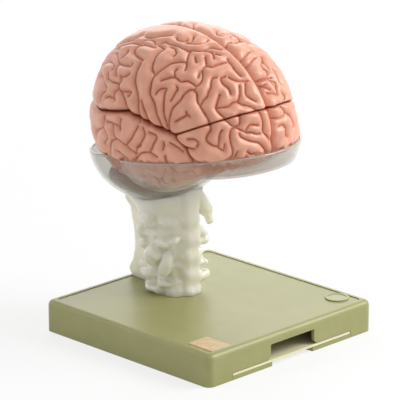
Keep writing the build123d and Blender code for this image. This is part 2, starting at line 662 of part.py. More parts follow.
single_pieces = {
    "base_shell": base_shell, "base_plate": base_plate, "plate_screws": plate_screws, "key_card": key_card,
    "plain_disc": plain_disc, "plain_label": plain_label, "cervical_spine": cervical_spine,
    "skull_base": skull_base, "clamp_rod": clamp_rod, "base_washer": base_washer, "base_nut": base_nut,
    "skull_washer": skull_washer, "skull_nut": skull_nut, "upper_pins": upper_pins, "lobe_pins": lobe_pins,
    "median_pins": median_pins,
}
paired_pieces = {
    "cerebrum_top": right_cerebrum_top, "frontal_base": right_frontal_base,
    "temporal_occipital": right_temporal_occipital, "cerebellum": right_cerebellum,
    "brain_stem": right_brain_stem,
}
for name, piece in single_pieces.items():
    hand_over(piece.part, name)
for name, piece in paired_pieces.items():
    hand_over(piece.part, f"right_{name}")
    with BuildPart() as left_piece:
        mirror(piece.part, about=Plane.YZ)
    hand_over(left_piece.part, f"left_{name}")
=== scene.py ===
"""Looks of the brain anatomy model: folded brain pieces, clear skull base, neck column and green base."""

import json
import math

import bpy
import numpy as np
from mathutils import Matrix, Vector, kdtree


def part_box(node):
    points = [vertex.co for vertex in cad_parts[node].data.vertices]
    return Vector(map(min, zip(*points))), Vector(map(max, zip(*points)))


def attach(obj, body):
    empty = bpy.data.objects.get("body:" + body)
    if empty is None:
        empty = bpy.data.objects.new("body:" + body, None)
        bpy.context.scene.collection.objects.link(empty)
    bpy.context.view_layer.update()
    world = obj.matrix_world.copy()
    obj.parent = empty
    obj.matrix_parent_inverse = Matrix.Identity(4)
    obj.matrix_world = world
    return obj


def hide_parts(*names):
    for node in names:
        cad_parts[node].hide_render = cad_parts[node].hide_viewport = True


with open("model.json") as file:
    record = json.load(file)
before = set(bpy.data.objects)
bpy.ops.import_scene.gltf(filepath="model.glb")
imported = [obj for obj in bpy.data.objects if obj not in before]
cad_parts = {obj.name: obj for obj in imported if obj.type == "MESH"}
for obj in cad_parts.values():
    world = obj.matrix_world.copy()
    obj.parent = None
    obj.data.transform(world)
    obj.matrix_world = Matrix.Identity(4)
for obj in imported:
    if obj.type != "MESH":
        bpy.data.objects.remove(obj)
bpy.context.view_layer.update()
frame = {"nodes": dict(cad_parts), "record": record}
MM = 0.001

# Camera at the photograph's angle: millimetres, degrees and pixels of the 400 pixel frame
FRAME_PIXELS = 400
CAMERA_AZIMUTH = -45.0
CAMERA_ELEVATION = 17.62
CAMERA_DISTANCE = 2296.0
CAMERA_FOCAL_PIXELS = 2981.4
TARGET_ACROSS = -6.8
TARGET_HEIGHT = 106.4
SENSOR_WIDTH = 36.0

# Whole brain as one smooth hull, nose down
BRAIN_CENTRE = (0.0, 16.6, 171.4)
BRAIN_SIZES = (75.0, 87.0, 68.8)
BRAIN_PITCH = 6.5
HULL_RAISE = 0.8

# Fuller and leaner places of the hull: direction from its centre, width as a share of its sizes, and height
HULL_SWELLS = (((0.55, 0.60, 0.58), 0.5, 1.4), ((0.45, 0.85, -0.28), 0.42, 2.4),
               ((0.60, 0.78, 0.10), 0.42, -4.2), ((0.60, -0.70, -0.25), 0.4, 2.2))
HULL_SWELLS_LEFT = (((0.74, -0.62, 0.24), 0.32, -4.6),)

# Cuts between the pieces of the brain: stops as Y and height, or as height and Y for the gap of the lobes
MEDIAN_GAP = 0.4
MEDIAN_ROUNDING = 9.0
PARTING_STOPS = ((-120.0, 194.0), (-60.0, 192.5), (-27.0, 177.2), (15.0, 188.8), (50.0, 181.4),
                 (120.0, 181.4))
PARTING_BLUR = 2.5
PARTING_GAP = 0.4
LOBE_GAP_STOPS = ((300.0, -27.0), (177.2, -27.0), (162.0, -38.0), (155.0, -44.0), (120.0, -34.0))
LOBE_BLUR = 2.0
LOBE_GAP = 1.6
LINE_STEP = 0.5
LINE_REACH = 12
SEAM_ROUNDING_FRONT = 2.6
SEAM_ROUNDING_REAR = 6.0
SEAM_CHANGE = (-34.0, -12.0)
BRAIN_CLEARANCE = 0.5
UNDERSIDE_ROUNDING = 2.0

# How far below the rim the underside of the frontal lobe ends
FRONT_DEPTH = 5.0

# Clear skull base
RIM_Y = 65.0
RIM_Z = 143.0
RIM_TILT = 7.0
TRAY_MARGIN = 0.8
SHELL_THICKNESS = 2.0
FRONT_HOLLOW = ((0.0, -17.0, 157.0), (76.0, 60.0, 19.4))
MIDDLE_HOLLOW = ((39.0, 4.0, 151.0), (38.0, 33.0, 25.8))
REAR_HOLLOW = ((0.0, 50.3, 149.0), (62.5, 47.7, 49.0))
RIM_BEAD = 0.9
RIM_STEPS = 240
RIM_SEARCH = (20.0, 110.0, 0.1)

# Rooms for the cerebellum and the brain stem, and the cerebellum's half with its leaves
ROOM = ((0.0, 62.0, 118.0), (76.0, 43.0, 23.8))
ROOM_ROUNDING = 3.0
STEM_ROOM = ((0.0, 24.0, 134.0), (21.0, 20.0, 26.0))
CEREBELLUM = ((22.0, 57.0, 117.5), (20.5, 24.0, 15.5))
FOLIUM_PITCH = 2.6
FOLIUM_DEPTH = 0.9
FOLIUM_BEND = 0.05
FOLIUM_SWAY = 0.6
FOLIUM_SWAY_RATE = 0.35

# Neck column: sections as height, middle, half width and half depth
NECK_SECTIONS = ((24.0, 39.0, 18.6, 22.0), (29.0, 39.3, 18.2, 21.8), (34.0, 39.5, 15.8, 20.0),
                 (60.0, 40.0, 14.6, 19.0), (78.0, 42.0, 16.2, 20.6), (90.0, 45.0, 20.0, 24.0),
                 (107.0, 51.5, 28.5, 30.0), (126.0, 57.0, 36.0, 35.0))
NECK_FOOT_Z = 24.8
NECK_TOP = 126.0
NECK_SQUARENESS = 2.8
BAND_PLACE = (1.0, 25.5)
BAND_SIZES = (8.0, 9.5)
BAND_ROUNDING = 4.5
BAND_FILLET = 4.0
BAND_WAVE = 0.7
VERTEBRA_PITCH = 15.0
VERTEBRA_START = 33.0
SHEET_THICKNESS = 5.0
SHEET_ROUNDING = 2.5
SHEET_FILLET = 5.0
SHEET_REAR = ((24.8, 83.4), (28.0, 86.5), (31.0, 88.2), (34.0, 87.0), (40.0, 83.5), (48.0, 81.5),
              (60.0, 81.5), (71.0, 83.5), (83.0, 86.5), (88.0, 92.0), (126.0, 97.7))

# Bony swellings and hollows of the column: place, half sizes, and lean about the front axis in degrees
SWELLINGS = (((15.5, 48, 84), (8.5, 11, 6), 0), ((17, 42.5, 56), (8.5, 8.5, 9.5), 0),
             ((12.5, 58, 71), (5.5, 8, 6), 0), ((17, 33, 67.5), (4, 8, 3.6), 14),
             ((14.5, 24.5, 71), (4, 5, 3.6), 14), ((16.5, 31, 50), (5, 5.5, 10.5), -10),
             ((12.5, 54, 37), (5.5, 8, 5), 0), ((14.5, 43, 28.5), (8, 9, 4), 0),
             ((6.5, 64, 79), (4.5, 8, 5), 0), ((6, 64, 58), (4, 8, 5), 0),
             ((5.5, 64, 40), (4, 8, 5), 0), ((16.5, 35, 34), (4, 8, 3), 0))
SWELLINGS_LEFT = (((20, 25.5, 91), (6, 6, 17), -28),
                  ((13, 25, 73.5), (11.5, 6.5, 4), 25), ((13, 25, 65.5), (11, 6, 4), 0),
                  ((12, 25, 56), (11, 5.5, 5), -12), ((12.5, 25, 46), (11.5, 6, 5), 10),
                  ((12, 24, 36), (11, 6, 5), -15))
HOLLOW_SPOTS = (((18.5, 28.5, 77), (6, 9, 6.2), 14), ((19.5, 26, 59.5), (4.5, 5, 5), 0),
                ((18, 36, 47), (3.4, 3.4, 8), 0), ((16.5, 22, 46), (4, 3.2, 8), 0),
                ((18, 44, 42), (4, 6, 4), 0), ((20, 50, 73), (6, 7, 3.6), 20),
                ((18.5, 40, 33), (3.4, 4.4, 2.4), 0), ((22, 40.5, 84), (4, 3.2, 4), 0),
                ((14, 60, 48), (4.5, 7, 4), 0), ((12, 67, 69), (5, 6, 3), 0))
SWELLING_FILLET = 2.2
HOLLOW_ROUNDING = 2.0

# Uneven skin of the column: wave lengths and heights, and where it fades upwards and over the sheet
ROUGH_WAVES = ((13.0, 0.225), (7.0, 0.13), (4.0, 0.06))
ROUGH_DIRECTIONS = 7
ROUGH_PHASE = 6
ROUGH_SEED = 3
ROUGH_TOP = (96.0, 84.0)
ROUGH_REAR = (60.0, 72.0)
REAR_SMOOTHNESS = 0.9

# Folds of the cortex: the crease along a furrow, the rounded sides beside it, and the colour along them,
# which is partly the furrows' darker paint and partly painted shade in the furrows and along the seams
CREASE_DEPTH = 1.7
CREASE_WIDTH = 1.2
CREASE_POWER = 1.5
PUFF_DEPTH = 3.2
PUFF_WIDTH = 6.6
PUFF_BLUR = 1.1
LINE_WIDTH = 0.9
LINE_SHARE = 0.6
SHADE_WIDTH = 3.6
SHADE_POWER = 1.5
PARTING_SHADE = 1.6
PAINT_FADE = 2.0

# Winding pattern of the folds that the photograph doesn't show
FOLD_WAVE = 13.5
FOLD_WAVE_SPREAD = (0.85, 1.2)
WAVE_COUNT = 48
LEAST_SLOPE = 0.35
HULL_SEED = 7
UNDERSIDE_SEED = 11
UNDERSIDE_TOP = 20.0
UNDERSIDE_SHARE = 0.6

# Where the hull faces the camera enough for traced furrows, and the heights over which they begin
TRACED_FACING = -0.15
NEAR_FACING = (0.0, 0.18)
FAR_FACING = (0.0, 0.25)
TRACED_HEIGHTS = (138.0, 150.0)
FAR_SHARE = 0.4

# Steps of lines and maps, and of the grids that the pieces are sculpted on
FURROW_STEP = 0.5
MAP_STEP = 0.3
BLUR_CELLS = 8
LEAST_GIRTH = 0.02
NOT_NEAR = 50.0
FIELD_REACH = 7.0
GRID_STEP = 0.7
PIECE_MARGIN = 1.5
COLUMN_MARGIN = 4
COLUMN_KEEP = 0.6

# Lamps: bearing and height in degrees, distance and width in metres, power in watts
LAMPS = {"key": (48, 38, 1.6, 0.9, 20), "back": (140, 26, 1.9, 1.4, 8), "side": (-140, 30, 1.8, 1.0, 3.4)}
AIM_HEIGHT = 0.12
SOFT_LIGHT = 0.53
FLOOR_GLOW = 0.75
FLOOR_WIDTH = 12


def rotation_x(degrees):
    """Rotation matrix about the X axis."""
    c, s = math.cos(math.radians(degrees)), math.sin(math.radians(degrees))
    return np.array(((1, 0, 0), (0, c, -s), (0, s, c)))


def rotation_y(degrees):
    """Rotation matrix about the Y axis."""
    c, s = math.cos(math.radians(degrees)), math.sin(math.radians(degrees))
    return np.array(((c, 0, s), (0, 1, 0), (-s, 0, c)))


def camera_frame():
    """Right, up and back direction of the camera, and its place in millimetres."""
    turn, rise = math.radians(CAMERA_AZIMUTH), math.radians(CAMERA_ELEVATION)
    right = np.array((math.cos(turn), math.sin(turn), 0))
    back = np.array((math.sin(turn) * math.cos(rise), -math.cos(turn) * math.cos(rise), math.sin(rise)))
    up = np.cross(back, right)
    target = right * TARGET_ACROSS + np.array((0, 0, TARGET_HEIGHT))
    return right, up, back, target + back * CAMERA_DISTANCE


RIGHT, UP, BACK, EYE = camera_frame()
TILT = rotation_x(BRAIN_PITCH)
HULL_CENTRE = np.array(BRAIN_CENTRE)
HULL_SIZES = np.array(BRAIN_SIZES)


# Furrows of the near upper piece, traced along the photograph's frame in pixels
UPPER_FURROWS = {
    "rear_central": ((140, 62), (138, 66), (135.5, 72), (134, 80), (135, 87), (136.5, 93), (137, 100),
                     (137.3, 108), (137.8, 118), (138.5, 123)),
    "crown_knob": ((155, 47), (147, 44.5), (141, 45), (137, 47), (133.8, 50.5), (135, 54.5), (142.5, 59.5)),
    "central": ((158, 44), (161.5, 46.3), (163.5, 48.3), (160, 50.5), (156.5, 53.5), (153.5, 58), (152, 64),
                (151.5, 69), (153.5, 73.5), (151, 80), (149, 92), (150.5, 97), (153.5, 103), (156, 114),
                (158.5, 120), (161, 127), (163, 132)),
    "central_branch": ((155, 74.5), (158, 71), (163, 67.3), (168, 64), (173, 62), (180, 61), (186, 61)),
    "upper_front_spur": ((190, 49.5), (187.5, 56), (186.5, 61), (186.5, 65), (184.5, 69.5)),
    "long_front": ((160, 80), (170, 76.8), (175, 76.5), (178, 79), (181, 81), (187, 80.3), (192, 82.5),
                   (196, 85.5), (200, 83), (202.5, 78), (203, 72), (202.5, 69), (207, 65), (212, 66),
                   (217, 64), (227, 61)),
    "long_front_spur": ((175, 76.5), (174, 71), (177, 68)),
    "long_front_notch": ((202.5, 69.5), (199.5, 72), (198, 77)),
    "lower_front": ((195, 89.5), (190, 89.5), (186, 92), (183, 95), (180, 100), (176, 104), (172, 108.5),
                    (170.5, 113), (168.5, 122), (168.5, 131), (170, 134)),
    "front_drop": ((196, 86), (194.5, 90), (197, 93), (197.5, 101), (199.5, 105), (202, 108.5), (205, 113.5),
                   (208.5, 119), (209.5, 122)),
    "front_hook": ((217, 76.5), (213, 77.5), (211.5, 81), (211, 87), (208.5, 92), (207.5, 96),
                   (203.5, 100.5), (201, 105), (201.5, 108)),
    "front_crook": ((226, 75.5), (221.5, 77.5), (222, 80), (224, 83.5), (229, 87.5), (231, 91), (231.5, 94)),
    "brow_hook": ((220.5, 94), (218.5, 100), (217, 105), (216.5, 109), (219, 112.5), (223, 116),
                  (225.5, 118)),
    "brow": ((217, 108), (223, 107.5), (229, 106.5), (233, 103), (238, 102), (243, 104.5), (248, 105.5),
             (253, 107), (257, 109.5)),
    "brow_inner": ((246.5, 82), (246.5, 88), (247, 94), (250, 97), (254, 99.5), (257, 101)),
    "brow_outer": ((240.5, 85), (241, 93), (240, 98), (239, 102)),
    "front_inner": ((229, 76.5), (234, 79), (240, 80.5), (249, 80.5)),
    "inner_edge": ((228, 58), (230, 61), (233, 64.5), (235.5, 68.5), (238.5, 72), (242, 75.5)),
    "crown_pit": ((195, 56), (196.5, 61.5)),
    "crown_spur": ((205.5, 56), (206.5, 61), (206.5, 65)),
    "crown_fork": ((205, 50), (212, 51), (214, 54), (214.5, 58)),
    "crown_line": ((188.5, 49.5), (193, 49), (198, 49.8), (204, 49), (211, 46.5), (217, 47.5), (222, 48.5)),
    "crown_gyrus": ((188, 49.8), (183, 47.3), (177, 44.5), (170, 43), (165.5, 41), (160.5, 42.5)),
    "crown_inlet": ((170, 46), (174.5, 47.5), (175.6, 52.3), (172.3, 55.6)),
    "crown_bay": ((176.4, 36.6), (178, 39), (183, 39.9), (187.2, 38.6)),
    "crown_bight": ((186.4, 41), (190.5, 40.7), (192.8, 38.2), (193.4, 35.5)),
    "crown_shore": ((184.7, 42), (195.5, 42.6), (203, 41.5), (208, 39.5)),
    "crown_dash": ((216, 52.3), (221, 54)),
    "crown_rim": ((145.7, 36.6), (152, 36.8), (158.2, 35.9), (165, 35.2), (171.4, 34.4)),
    "crown_edge": ((154.9, 43.6), (154, 40.5), (150, 39), (145, 39.8), (141.2, 42.4)),
    "parietal_line": ((119, 49), (125, 45), (132.5, 43), (140.8, 44)),
    "parietal_crest": ((107.4, 55), (113, 50), (120, 44.9), (127, 41.5), (135, 39.3), (142, 35.5)),
    "parietal_bow": ((128, 50), (126, 54), (121.5, 57.5)),
    "rear_crest": ((99, 68), (103, 63), (110, 61), (113, 66), (111, 70)),
    "parietal_hook": ((116.5, 53), (117, 58), (118, 62), (121, 64), (126, 65), (130, 65.5), (132, 63)),
    "parietal_tail": ((118, 64), (115.5, 68), (115, 73), (115.5, 76)),
    "parietal_arch": ((107, 72), (106.5, 77), (108, 80), (113, 82), (117, 83.5), (117, 88), (114, 91),
                      (112.5, 96), (113.5, 100)),
    "parietal_spur": ((117, 83), (120, 81), (119.5, 75)),
    "angular": ((117, 88), (120, 91.5), (122, 96), (124, 101), (125, 107), (126, 111)),
    "angular_loop": ((120.5, 91), (125, 91), (130, 92), (127, 96)),
    "rear_hook": ((104, 97.5), (107, 96), (110, 97), (112.5, 98)),
    "rear_wave": ((99.5, 75), (101, 80), (103, 85), (105, 89), (101, 92.5), (99.5, 96), (98.5, 101)),
    "parietal_dash": ((121, 76), (125, 75.5), (129, 73)),
    "behind_central": ((140, 100), (142, 107), (144.5, 113), (146.5, 120), (148.5, 126)),
    "before_central": ((155, 94), (157, 90.5), (161, 88), (166, 88), (164.5, 92), (163.5, 98), (163, 104),
                       (163, 110), (164, 117), (166, 123), (167, 128)),
    "front_nest": ((176, 86), (177.5, 88.5), (175, 92), (172.5, 97), (170, 101)),
    "lower_nest": ((175, 122), (180, 119), (184, 117), (187, 115), (190, 116.5)),
    "lower_nest_spur": ((187, 115), (186, 111.5)),
}

# Furrows of the near lower frontal piece
FRONTAL_FURROWS = {
    "orbital_rise": ((209.5, 122), (211, 127), (211, 131), (208.5, 134), (206.5, 138), (207, 141),
                     (210, 144), (214, 146), (218, 147.5), (221, 150), (224, 151)),
    "orbital_branch": ((223, 130), (220.5, 134), (219.5, 139), (219, 144), (218.5, 147)),
    "orbital_dash": ((225, 144), (224.5, 149)),
    "brow_drop": ((226, 120), (229, 122.5), (233, 126), (237, 127.5), (233, 129), (231, 132), (230.5, 138),
                  (231.5, 144), (233, 149), (233, 155), (231, 159)),
    "brow_rise": ((240.5, 115), (241, 121), (240, 125), (237, 127.5), (241, 130), (245, 132.5),
                  (248, 133.5)),
    "brow_knob": ((248, 133.5), (247, 131), (249, 127), (252, 125), (259, 125.5)),
    "brow_shelf": ((248, 133), (253, 133), (257, 134.5), (261, 134)),
    "nose_line": ((240, 134), (242, 137.5), (247, 140), (253, 142), (259, 143), (263, 146), (266, 150),
                  (267, 152)),
    "nose_edge": ((260, 111), (263, 117), (264.5, 124), (264, 130), (266, 134), (270, 138), (272, 141)),
    "insular_loop": ((187.5, 139.5), (194, 139.5), (198.5, 143), (197, 147.5)),
    "insular_line": ((183, 147), (189, 148.5), (195, 149.5)),
    "under_dash": ((238, 152), (236, 157)),
    "nose_hollow": ((248, 152), (252, 155), (256, 154)),
}

# Furrows of the near temporal and occipital piece
TEMPORAL_FURROWS = {
    "rear_temporal": ((103, 112), (103, 118), (105, 122), (110, 123), (111.5, 128), (112, 134), (114, 139),
                      (110, 142), (109, 148), (109, 153), (110, 158)),
    "rear_temporal_fork": ((112, 124), (117, 126.5), (119, 130), (118.5, 125), (119.5, 119)),
    "upper_temporal": ((114, 139), (119, 142), (124, 146), (125.5, 144.5), (130, 139), (132, 135),
                       (135, 130), (137, 126)),
    "middle_temporal": ((125, 146), (129, 150), (133, 153), (135, 155), (136, 149), (140, 146)),
    "lower_temporal": ((135, 160), (138, 156), (142, 153.5), (149, 153.5), (153, 155.5), (157, 158)),
    "temporal_rise": ((148, 132.5), (155.8, 137), (152.7, 144.8), (149.6, 152.4)),
    "temporal_bow": ((142, 128), (143.5, 135.6), (139, 144.8), (135.5, 148)),
    "temporal_pole": ((169.5, 143.2), (177.2, 147.8), (183.3, 152.4)),
    "rear_edge": ((101.4, 115.7), (101.4, 126.4), (95.3, 130.2), (96, 135.6)),
    "rear_curl": ((102.2, 129.4), (106, 137.1), (102.9, 143.2), (106, 147.8)),
    "temporal_dash": ((163, 142), (163.5, 146), (162.5, 150)),
    "rear_slant": ((117, 152), (122, 156), (126, 159)),
    "rear_fork": ((104, 149), (108, 156)),
    "pole_line": ((165, 156), (165.5, 160), (168, 166), (172, 170), (177, 173)),
}

# Furrows of the far half that show beyond the parting of the halves
FAR_FURROWS = {
    "brow": ((273, 77), (268, 77.5), (262, 79), (256, 80), (250, 81)),
    "crown_slant": ((250, 51), (247, 55), (243, 58.5), (240, 60.5)),
    "crown_slant_two": ((256, 57), (252, 62), (248, 66), (244.5, 69)),
    "crown_hook": ((228, 48), (227.5, 43), (231, 41), (235, 42), (241, 40)),
    "crown_dash": ((216.5, 31), (219, 34), (225, 35.5), (231, 36)),
    "crown_rear": ((193.5, 24), (193, 29), (191.5, 33)),
    "brow_lower": ((267, 84), (262, 87), (258, 89)),
    "brow_edge": ((269, 93), (274, 93), (279, 94), (277, 87), (273, 82), (270, 77)),
    "brow_dash": ((264, 60), (263, 66), (266, 70)),
    "side_crook": ((256, 81), (267.4, 78.1), (268.8, 71), (264.6, 67)),
    "side_drop": ((267.4, 78.1), (273, 80), (277.2, 83), (278.6, 90)),
    "side_line": ((255, 82.8), (264.6, 85.5), (271.6, 89.5)),
    "side_rise": ((274.4, 68.3), (278.6, 76.7), (281.4, 82.4)),
    "side_slant": ((261.8, 55.7), (266, 62.7), (270, 68)),
    "crown_ridge": ((232.8, 34.5), (238.6, 37.6), (242.7, 41), (247.7, 43)),
    "rear_dash": ((166.5, 30.5), (174.8, 26), (178.9, 23.2)),
    "rear_fork": ((150, 31.5), (158.2, 28.6), (160, 26.8)),
    "edge_loop": ((283, 92), (287, 97), (285, 103)),
    "nose_loop": ((270, 117), (277, 118.5), (284, 117), (286, 112), (283, 107), (280, 105)),
    "nose_rear": ((280, 127), (284, 125), (287, 128), (287, 133), (287.5, 137)),
    "nose_side": ((286, 112), (291, 115), (294, 121), (295, 127), (293, 131)),
}


def on_hull(pixel):
    """Point of the brain's hull behind a pixel of the photograph, or the nearest one beside its outline."""
    x, y = pixel
    half = FRAME_PIXELS / 2
    ray = -BACK * CAMERA_FOCAL_PIXELS + RIGHT * (x - half) - UP * (y - half)
    ray /= np.linalg.norm(ray)
    start = TILT.T @ (EYE - HULL_CENTRE) / HULL_SIZES
    step = TILT.T @ ray / HULL_SIZES
    a, b, c = step @ step, start @ step, start @ start - 1
    reach = (-b - math.sqrt(max(b * b - a * c, 0.0))) / a
    point = start + reach * step
    point /= np.linalg.norm(point)
    return HULL_CENTRE + TILT @ (point * HULL_SIZES)


def smooth_line(points):
    """Closely spaced points on a soft curve through the given ones."""
    points = np.array(points, float)
    padded = np.vstack((2 * points[0] - points[1], points, 2 * points[-1] - points[-2]))
    line = []
    for p0, p1, p2, p3 in zip(padded, padded[1:], padded[2:], padded[3:]):
        count = max(2, int(np.linalg.norm(p2 - p1) / FURROW_STEP))
        for t in np.linspace(0, 1, count, endpoint=False):
            line.append(0.5 * (2 * p1 + (p2 - p0) * t + (2 * p0 - 5 * p1 + 4 * p2 - p3) * t ** 2
                               + (3 * p1 - p0 - 3 * p2 + p3) * t ** 3))
    line.append(points[-1])
    return line


def furrow_tree(groups):
    """Search tree over all points of the traced furrows on the hull."""
    points = [on_hull(p) for group in groups for course in group.values() for p in smooth_line(course)]
    tree = kdtree.KDTree(len(points))
    for number, point in enumerate(points):
        tree.insert(point, number)
    tree.balance()
    return tree


def map_points():
    """Points of the hull on a regular map of bearings and elevations, and their outward directions."""
    bearings = np.radians(np.arange(-180, 180 + MAP_STEP / 2, MAP_STEP))
    elevations = np.radians(np.arange(-90, 90 + MAP_STEP / 2, MAP_STEP))
    bearing, elevation = np.meshgrid(bearings, elevations, indexing="ij")
    ball = np.stack((np.sin(bearing) * np.cos(elevation), -np.cos(bearing) * np.cos(elevation),
                     np.sin(elevation)), axis=-1)
    points = (ball * HULL_SIZES) @ TILT.T + HULL_CENTRE
    normals = (ball / HULL_SIZES) @ TILT.T
    return points, normals / np.linalg.norm(normals, axis=-1, keepdims=True)


def labyrinth(points, seed):
    """Distance to the lines of a winding pattern, for the folds that the photograph doesn't show."""
    rng = np.random.default_rng(seed)
    total = np.zeros(points.shape[:-1])
    slope = np.zeros(points.shape)
    for _ in range(WAVE_COUNT):
        direction = rng.normal(size=3)
        length = FOLD_WAVE * rng.uniform(*FOLD_WAVE_SPREAD)
        wave = direction / np.linalg.norm(direction) * 2 * math.pi / length
        phase = points @ wave + rng.uniform(0, 2 * math.pi)
        total += np.cos(phase)
        slope -= np.sin(phase)[..., None] * wave
    return np.abs(total) / np.maximum(np.linalg.norm(slope, axis=-1), LEAST_SLOPE)


def fade(values, low, high):
    """Smooth step from 0 at low to 1 at high."""
    t = np.clip((values - low) / (high - low), 0, 1)
    return t * t * (3 - 2 * t)


def nearest(tree, points, wanted):
    """Distance to the tree's points where wanted, and a large value elsewhere."""
    result = np.full(points.shape[:-1], NOT_NEAR)
    places = points[wanted]
    result[wanted] = [tree.find(place)[2] for place in places]
    return result


def furrow_maps():
    """Distance to the nearest furrow all over the hull, for the near half and the far half."""
    points, normals = map_points()
    facing = normals @ BACK
    seen = fade(facing, *NEAR_FACING) * fade(points[..., 2], *TRACED_HEIGHTS)
    near_tree = furrow_tree((UPPER_FURROWS, FRONTAL_FURROWS, TEMPORAL_FURROWS))
    traced = nearest(near_tree, points, facing > TRACED_FACING)
    hidden = labyrinth(points, HULL_SEED)
    near = np.minimum(traced, hidden + seen * FIELD_REACH)
    mirrored = near[::-1]
    far_traced = nearest(furrow_tree((FAR_FURROWS,)), points, facing > TRACED_FACING)
    far_seen = fade(facing, *FAR_FACING)
    far = np.minimum(far_traced, mirrored + far_seen * FIELD_REACH * FAR_SHARE)
    return {-1: near, 1: far}


def blurred(table):
    """A map of the hull, softened alike in all directions."""
    middle = HULL_SIZES.mean()
    elevations = np.radians(np.linspace(-90, 90, table.shape[1]))
    cell = math.radians(MAP_STEP) * middle
    turns = np.fft.rfftfreq(table.shape[0] - 1)[:, None] * 2 * math.pi
    widths = PUFF_BLUR / (cell * np.maximum(np.cos(elevations), LEAST_GIRTH))[None, :]
    round_about = np.fft.rfft(table[:-1], axis=0) * np.exp(-0.5 * (turns * widths) ** 2)
    soft = np.fft.irfft(round_about, n=table.shape[0] - 1, axis=0)
    soft = np.vstack((soft, soft[:1]))
    reach = np.arange(-BLUR_CELLS, BLUR_CELLS + 1)
    kernel = np.exp(-0.5 * (reach * cell / PUFF_BLUR) ** 2)
    padded = np.pad(soft, ((0, 0), (BLUR_CELLS, BLUR_CELLS)), mode="edge")
    return sum(w * padded[:, n:n + table.shape[1]] for n, w in enumerate(kernel / kernel.sum()))


def puff(distance):
    """Sink of the rounded folds beside a furrow."""
    return PUFF_DEPTH * np.clip(1 - distance / PUFF_WIDTH, 0, 1) ** 2


FURROW_MAPS = furrow_maps()
PUFF_MAPS = {side: blurred(puff(table)) for side, table in FURROW_MAPS.items()}


def from_map(tables, x, y, z, side):
    """Value for points near the hull, read from the map of that half."""
    local = (np.stack((x, y, z), axis=-1) - HULL_CENTRE) @ TILT / HULL_SIZES
    bearing = np.degrees(np.arctan2(local[..., 0], -local[..., 1]))
    elevation = np.degrees(np.arctan2(local[..., 2], np.hypot(local[..., 0], local[..., 1])))
    table = tables[side]
    i = (bearing + 180) / MAP_STEP
    j = (elevation + 90) / MAP_STEP
    i0 = np.clip(i.astype(int), 0, table.shape[0] - 2)
    j0 = np.clip(j.astype(int), 0, table.shape[1] - 2)
    u, v = i - i0, j - j0
    return ((table[i0, j0] * (1 - u) + table[i0 + 1, j0] * u) * (1 - v)
            + (table[i0, j0 + 1] * (1 - u) + table[i0 + 1, j0 + 1] * u) * v)


def smooth_max(a, b, radius):
    """Larger of two fields with a rounded edge between them."""
    h = np.maximum(radius - np.abs(a - b), 0) / radius
    return np.maximum(a, b) + h * h * radius / 4


def smooth_min(a, b, radius):
    """Smaller of two fields with a soft fillet between them."""
    return -smooth_max(-a, -b, radius)


def ellipsoid_field(x, y, z, centre, sizes, grow=0.0, turn=None):
    """Nearly the distance to an ellipsoid, negative inside."""
    p = np.stack((x - centre[0], y - centre[1], z - centre[2]), axis=-1)
    if turn is not None:
        p = p @ turn
    r = np.array(sizes) + grow
    k0 = np.linalg.norm(p / r, axis=-1)
    k1 = np.linalg.norm(p / r ** 2, axis=-1)
    return k0 * (k0 - 1) / np.maximum(k1, 1e-6)


def crease(distance):
    """Sink of the narrow crease along a furrow."""
    return CREASE_DEPTH * np.clip(1 - distance / CREASE_WIDTH, 0, 1) ** CREASE_POWER


def line_table(stops, blur):
    """Softened line through a few stops, and its slope, on a fine scale."""
    places = np.array([s[0] for s in stops])
    values = np.array([s[1] for s in stops])
    order = np.argsort(places)
    scale = np.arange(places.min(), places.max(), LINE_STEP)
    line = np.interp(scale, places[order], values[order])
    kernel = np.exp(-0.5 * (np.arange(-LINE_REACH, LINE_REACH + LINE_STEP, LINE_STEP) / blur) ** 2)
    edge = len(kernel) // 2
    padded = np.pad(line, edge, mode="edge")
    line = np.convolve(padded, kernel / kernel.sum(), mode="valid")
    return scale, line, np.gradient(line, scale)


PARTING = line_table(PARTING_STOPS, PARTING_BLUR)
LOBE_LINE = line_table(LOBE_GAP_STOPS, LOBE_BLUR)


def parting_field(y, z):
    """Nearly the distance above the parting face."""
    scale, line, slope = PARTING
    steep = np.interp(y, scale, slope)
    return (z - np.interp(y, scale, line)) / np.sqrt(1 + steep ** 2)


def lobe_field(y, z):
    """Nearly the distance behind the gap between the frontal and the temporal lobe."""
    scale, line, slope = LOBE_LINE
    steep = np.interp(z, scale, slope)
    return (y - np.interp(z, scale, line)) / np.sqrt(1 + steep ** 2)


def rim_field(y, z):
    """Distance above the plane of the skull base's rim."""
    tilt = math.radians(RIM_TILT)
    return (y - RIM_Y) * math.sin(tilt) + (z - RIM_Z) * math.cos(tilt)


def hollow_field(x, y, z, grow):
    """Nearly the distance to the hollows of the skull base, negative inside them."""
    wide = np.abs(x)
    front = ellipsoid_field(wide, y, z, *FRONT_HOLLOW, grow)
    middle = ellipsoid_field(wide, y, z, *MIDDLE_HOLLOW, grow)
    rear = ellipsoid_field(wide, y, z, *REAR_HOLLOW, grow)
    tray = ellipsoid_field(x, y, z, BRAIN_CENTRE, BRAIN_SIZES, grow + TRAY_MARGIN, TILT)
    return np.minimum(rear, np.maximum(np.minimum(front, middle), tray))


def free_room(x, y, z):
    """Nearly the distance to the room in and above the skull base, negative inside it."""
    return np.minimum(-rim_field(y, z), hollow_field(x, y, z, -BRAIN_CLEARANCE))


